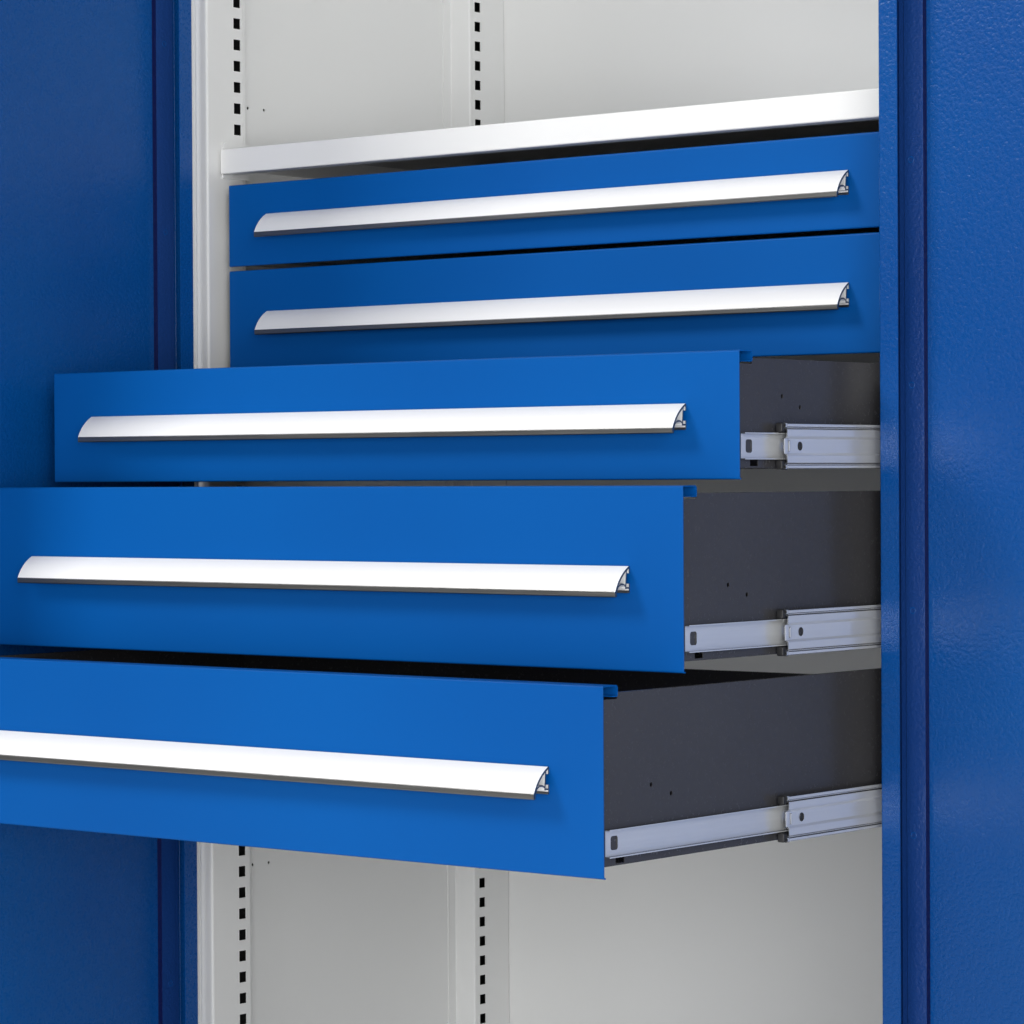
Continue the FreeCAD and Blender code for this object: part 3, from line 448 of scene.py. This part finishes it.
# Slides. The paths are upper halves of profiles: from the slotted face inwards, and up from the
# slide's middle.
slide = {
    "sheet": 0.0010,
    "cabinetY": -0.2360,           # where the members of the cabinet start
    "closedDrawers": (1, 2),
    "closedMiddleY": -0.2380,      # where the middle members of the closed drawers start
    "cabinetPath": ((0.0145, 0.0232), (0.0145, 0.0265), (0.0, 0.0265)),
    "cabinetRadius": 0.0006,
    "middlePath": ((0.0170, 0.01775), (0.0120, 0.01775), (0.0110, 0.02125), (0.0065, 0.02125),
                   (0.0065, 0.0182), (0.0092, 0.0176), (0.0092, 0.0168), (0.0065, 0.0158),
                   (0.0065, 0.0090), (0.0087, 0.0066)),
    "middleRadii": (0.0006, 0.0006, 0.0012, 0.0004, 0.0003, 0.0003, 0.0008, 0.0008, 0.0004),
    "railBack": 0.0040,            # the rails start this far behind the latch clip
    "holeBack": 0.0280, "holeRadius": 0.0042,
    "holeRounding": 0.96,          # of the radius, so that the hole's sides keep some length
    "drawerPath": ((0.0142, 0.0125), (0.0200, 0.0125)),
    "drawerRadius": 0.0012,
    "drawerStart": 0.0040,         # behind the front's outer face
    "slotBack": 0.0168, "slotHalf": (0.0052, 0.0062), "slotRadius": 0.0026}


def profileAt(half, start, middleZ):
    whole = list(half) + [(depth, -height) for depth, height in half[::-1]]
    return [(slottedFace - depth, start, middleZ + height) for depth, height in whole]


def middlePlace(number):
    # Where a middle member starts and ends, and how high it lies. Closed ones are shortened.
    low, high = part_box("middle_slides_%d" % number)
    closed = number in slide["closedDrawers"]
    start = max(low.y, slide["closedMiddleY"]) if closed else low.y
    return start, high.y, (low.z + high.z) / 2


for number in drawers:
    clipStart, end, middleZ = middlePlace(number)
    start = clipStart + slide["railBack"]
    channelX = slottedFace - slide["middlePath"][-1][0]
    hole = ((channelX, clipStart + slide["holeBack"], middleZ),
            (slide["holeRadius"], slide["holeRadius"]), slide["holeRadius"] * slide["holeRounding"])
    members = bmesh.new()
    bentSheet(members, profileAt(slide["middlePath"], start, middleZ),
              slide["middleRadii"] + slide["middleRadii"][::-1], (0, end - start, 0),
              slide["sheet"], (1, 0, 0), [hole])
    mirroredPair(members)
    piece = finishedPiece("middle_slide_rails_%d" % number, members, "slide_mid_%d" % number,
                          railPlateAndShade)
    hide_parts("middle_slides_%d" % number)

    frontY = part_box("drawer_front_%d" % number)[0].y
    start = frontY + slide["drawerStart"]
    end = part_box("drawer_slides_%d" % number)[1].y
    slot = ((slottedFace - slide["drawerPath"][-1][0], frontY + slide["slotBack"], middleZ),
            slide["slotHalf"], slide["slotRadius"])
    members = bmesh.new()
    bentSheet(members, profileAt(slide["drawerPath"], start, middleZ),
              [slide["drawerRadius"]] * 2, (0, end - start, 0), slide["sheet"], (-1, 0, 0), [slot])
    mirroredPair(members)
    piece = finishedPiece("drawer_slide_rails_%d" % number, members, "drawer_%d" % number,
                          railPlateAndShade)
    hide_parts("drawer_slides_%d" % number)

# Cabinet members with the hooks that go through the slots and drop behind the sheet. The rows
# count the uprights' slots from the floor up: a member's middle lies above its bottom row.
slotHook = {"frontY": -0.2240, "rearY": 0.2188, "pitch": 0.025, "rearDrop": 0.008,
            "slotHeight": 0.0125, "sheet": 0.0015, "play": 0.0003, "drop": 0.004,
            "height": 0.008, "width": 0.008, "bend": 0.0006,
            "bottomRows": (49, 44, 39, 32, 25), "centreAbove": 0.036}

for side, name in ((-1, "left"), (1, "right")):
    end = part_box("slide_cabinet_members_%s" % name)[1].y
    hookX = slottedFace + slotHook["play"] + 2 * slotHook["sheet"]
    members = bmesh.new()
    for row in slotHook["bottomRows"]:
        middleZ = row * slotHook["pitch"] + slotHook["centreAbove"]
        bentSheet(members, profileAt(slide["cabinetPath"], slide["cabinetY"], middleZ),
                  [slide["cabinetRadius"]] * 4, (0, end - slide["cabinetY"], 0),
                  slide["sheet"], (1, 0, 0))
        for y, rows, drop in ((slotHook["frontY"], (1, 2), 0.0),
                              (slotHook["rearY"], (2,), slotHook["rearDrop"])):
            start = y - slotHook["width"] / 2
            for step in rows:
                bottom = (row + step) * slotHook["pitch"] - drop - slotHook["slotHeight"]
                top = bottom + slotHook["height"]
                path = [(slottedFace, start, top), (hookX, start, top),
                        (hookX, start, bottom - slotHook["drop"])]
                bentSheet(members, path, [slotHook["bend"]], (0, slotHook["width"], 0),
                          slotHook["sheet"], (1, 0, 1))
    if side < 0:
        bmesh.ops.scale(members, vec=(-1, 1, 1), verts=members.verts)
    piece = finishedPiece("slide_cabinet_rails_%s" % name, members, "carcass", railPlateAndShade)
    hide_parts("slide_cabinet_members_%s" % name)

print("slide members made")

# Front ends of the middle members: black cage ends, the rails' rolled ends, and the latch clip.
# Depths are measured from the slotted face inwards, and Back from the clip's front.
slideEnd = {
    "cageSize": (0.0075, 0.0062, 0.0085), "cageHeight": 0.0176, "cageDepth": 0.0125,
    "cageBack": 0.0012, "cageRadius": 0.0012,
    "ringDepth": 0.0094, "ringHeight": 0.0195, "ringOuter": 0.0027, "ringInner": 0.0015,
    "ringBack": 0.0020, "ringLength": 0.0040, "ringSides": 16,
    "clipDepth": 0.0082, "clipSize": (0.0016, 0.0075, 0.0150), "clipBack": 0.0036,
    "clipRadius": 0.0006,
    "tabSize": (0.0028, 0.0030, 0.0105), "tabBack": 0.0085, "tabRadius": 0.0009}


def rolledEnd(shape, centre):
    # A short tube along Y, turned around its own middle line
    others = set(shape.verts)
    profile = [shape.verts.new((slideEnd[key], along, 0)) for key, along in (
        ("ringInner", 0), ("ringOuter", 0), ("ringOuter", slideEnd["ringLength"]),
        ("ringInner", slideEnd["ringLength"]))]
    hoop = [shape.edges.new(pair) for pair in zip(profile, profile[1:] + profile[:1])]
    bmesh.ops.spin(shape, geom=profile + hoop, cent=(0, 0, 0), axis=(0, 1, 0),
                   angle=2 * math.pi, steps=slideEnd["ringSides"], use_merge=True)
    made = [vert for vert in shape.verts if vert not in others]
    bmesh.ops.translate(shape, verts=made, vec=centre)


for number in drawers:
    start, end, middleZ = middlePlace(number)
    body = "slide_mid_%d" % number
    cages = bmesh.new()
    rings = bmesh.new()
    clips = bmesh.new()
    for way in (-1, 1):
        roundedBlock(cages, (slottedFace - slideEnd["cageDepth"], start + slideEnd["cageBack"],
                             middleZ + way * slideEnd["cageHeight"]),
                     slideEnd["cageSize"], slideEnd["cageRadius"])
        rolledEnd(rings, (slottedFace - slideEnd["ringDepth"], start + slideEnd["ringBack"],
                          middleZ + way * slideEnd["ringHeight"]))
    clipX = slottedFace - slideEnd["clipDepth"]
    roundedBlock(clips, (clipX, start + slideEnd["clipBack"], middleZ),
                 slideEnd["clipSize"], slideEnd["clipRadius"], 2)
    roundedBlock(clips, (clipX, start + slideEnd["tabBack"], middleZ),
                 slideEnd["tabSize"], slideEnd["tabRadius"])
    for shape in (cages, rings, clips):
        mirroredPair(shape)
    finishedPiece("slide_cage_ends_%d" % number, cages, body, mouldedPlastic, True)
    finishedPiece("slide_rolled_ends_%d" % number, rings, body, railPlateAndShade)
    finishedPiece("slide_latch_clips_%d" % number, clips, body, railPlateAndShade, True)

print("slide ends made")


# Spot welds on the doors' stiffener strips: shallow rings that stand on the strip's face
spotWeld = {
    "outer": 0.0034, "inner": 0.0024, "rise": 0.00035, "sides": 24,
    "pitch": 0.2180, "firstZ": 0.1790, "count": 9,
    "leftY": -0.3246, "rightX": 0.5090, "rightAbove": 0.0190}


def weldRing(shape, centre, outward):
    turn = Vector((0, 0, 1)).rotation_difference(Vector(outward)).to_matrix().to_4x4()
    made = bmesh.ops.create_circle(shape, cap_ends=False, segments=spotWeld["sides"],
                                   radius=spotWeld["outer"])["verts"]
    edges = list({edge for vert in made for edge in vert.link_edges})
    grown = bmesh.ops.extrude_edge_only(shape, edges=edges)["geom"]
    crest = [item for item in grown if isinstance(item, bmesh.types.BMVert)]
    crestRadius = (spotWeld["outer"] + spotWeld["inner"]) / 2
    for vert in crest:
        vert.co = vert.co.normalized() * crestRadius + Vector((0, 0, spotWeld["rise"]))
    edges = [item for item in grown if isinstance(item, bmesh.types.BMEdge)
             and all(vert in crest for vert in item.verts)]
    last = bmesh.ops.extrude_edge_only(shape, edges=edges)["geom"]
    last = [item for item in last if isinstance(item, bmesh.types.BMVert)]
    for vert in last:
        vert.co = Vector((vert.co.x, vert.co.y, 0)).normalized() * spotWeld["inner"]
    bmesh.ops.transform(shape, matrix=Matrix.Translation(centre) @ turn,
                        verts=made + crest + last)


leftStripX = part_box("door_left_stiffeners")[1].x
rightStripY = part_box("door_right_stiffeners")[0].y
leftWelds = bmesh.new()
rightWelds = bmesh.new()
for index in range(spotWeld["count"]):
    z = spotWeld["firstZ"] + index * spotWeld["pitch"]
    weldRing(leftWelds, (leftStripX, spotWeld["leftY"], z), (1, 0, 0))
    weldRing(rightWelds, (spotWeld["rightX"], rightStripY, z + spotWeld["rightAbove"]), (0, -1, 0))
finishedPiece("door_left_spot_welds", leftWelds, "door_left", doorPaint, True)
finishedPiece("door_right_spot_welds", rightWelds, "door_right", doorPaint, True)

print("spot welds made")


# Floor and backdrop in one sweep. From behind, the wall lets the view through.
studio = {"reach": 14.0, "wallY": 4.5, "wallHeight": 7.0, "cove": 1.2, "coveSegments": 12,
          "colour": (0.80, 0.80, 0.80), "roughness": 0.9}

stageShape = bmesh.new()
path = [stageShape.verts.new(place) for place in (
    (-studio["reach"], -studio["reach"], 0), (-studio["reach"], studio["wallY"], 0),
    (-studio["reach"], studio["wallY"], studio["wallHeight"]))]
for pair in zip(path, path[1:]):
    stageShape.edges.new(pair)
rounded(stageShape, [path[1]], studio["cove"], "VERTICES", studio["coveSegments"])
pulled(stageShape, stageShape.edges[:], (2 * studio["reach"], 0, 0))
bmesh.ops.recalc_face_normals(stageShape, faces=stageShape.faces)
if sum(face.normal.z for face in stageShape.faces) < 0:
    bmesh.ops.reverse_faces(stageShape, faces=stageShape.faces)
for face in stageShape.faces:
    face.smooth = True
stageMesh = bpy.data.meshes.new("studioSweep")
stageShape.to_mesh(stageMesh)
stageShape.free()
studioSweep = bpy.data.objects.new("studioSweep", stageMesh)
bpy.context.scene.collection.objects.link(studioSweep)

sweepPaint, sweepTree, sweepShader = blankMaterial("sweepPaint")
sweepShader.inputs["Base Color"].default_value = (*studio["colour"], 1)
sweepShader.inputs["Roughness"].default_value = studio["roughness"]
sides = sweepTree.nodes.new("ShaderNodeNewGeometry")
clear = sweepTree.nodes.new("ShaderNodeBsdfTransparent")
oneWay = sweepTree.nodes.new("ShaderNodeMixShader")
sweepOutput = next(node for node in sweepTree.nodes if node.type == "OUTPUT_MATERIAL")
sweepTree.links.new(sides.outputs["Backfacing"], oneWay.inputs[0])
sweepTree.links.new(sweepShader.outputs["BSDF"], oneWay.inputs[1])
sweepTree.links.new(clear.outputs["BSDF"], oneWay.inputs[2])
sweepTree.links.new(oneWay.outputs["Shader"], sweepOutput.inputs["Surface"])
studioSweep.data.materials.append(sweepPaint)


# Light: a key from the upper left in front, two broad ones from the right, a weak one in front
lamps = {
    "keyLight": {"place": (-2.15, -3.86, 4.0), "aim": (0, -0.5, 1.0), "size": (1.5, 1.5),
                 "power": 128},
    "fillLight": {"place": (4.2, -3.2, 2.9), "aim": (-0.1, -0.4, 1.0), "size": (2.6, 2.2),
                  "power": 57},
    "lowLight": {"place": (3.6, -4.2, 1.0), "aim": (-0.1, -0.4, 0.9), "size": (2.0, 1.8),
                 "power": 110},
    "frontLight": {"place": (0.6, -4.8, 1.0), "aim": (0, -0.3, 0.9), "size": (2.5, 1.6),
                   "power": 40}}
skyStrength = 0.12

for name, lamp in lamps.items():
    softbox = bpy.data.lights.new(name, "AREA")
    softbox.shape = "RECTANGLE"
    softbox.size, softbox.size_y = lamp["size"]
    softbox.energy = lamp["power"]
    holder = bpy.data.objects.new(name, softbox)
    holder.location = lamp["place"]
    towards = Vector(lamp["aim"]) - Vector(lamp["place"])
    holder.rotation_euler = towards.to_track_quat("-Z", "Y").to_euler()
    bpy.context.scene.collection.objects.link(holder)

world = bpy.data.worlds.new("softSky")
bpy.context.scene.world = world
world.use_nodes = True
world.node_tree.nodes["Background"].inputs["Color"].default_value = (1, 1, 1, 1)
world.node_tree.nodes["Background"].inputs["Strength"].default_value = skyStrength

print("studio and light made")


# Camera at the photograph's viewpoint, fitted to the uprights' slots and the drawer edges
viewpoint = {"place": (2.203633, -3.010887, 0.984892), "turn": 0.6832, "tilt": 0.0112,
             "roll": -0.0055, "lens": 114.83, "sensor": 36.0, "farthest": 60.0}

turn, tilt, roll = viewpoint["turn"], viewpoint["tilt"], viewpoint["roll"]
ahead = Vector((-math.sin(turn) * math.cos(tilt), math.cos(turn) * math.cos(tilt), -math.sin(tilt)))
level = Vector((math.cos(turn), math.sin(turn), 0))
upright = level.cross(ahead)
sideways = level * math.cos(roll) + upright * math.sin(roll)
upwards = upright * math.cos(roll) - level * math.sin(roll)
lensData = bpy.data.cameras.new("viewpoint")
lensData.lens = viewpoint["lens"]
lensData.sensor_width = viewpoint["sensor"]
lensData.sensor_fit = "HORIZONTAL"
lensData.clip_end = viewpoint["farthest"]
camera = bpy.data.objects.new("viewpoint", lensData)
columns = Matrix((sideways, upwards, -ahead)).transposed().to_4x4()
camera.matrix_world = Matrix.Translation(viewpoint["place"]) @ columns
bpy.context.scene.collection.objects.link(camera)
bpy.context.scene.camera = camera
bpy.context.scene.view_settings.view_transform = "Standard"

print("camera set")
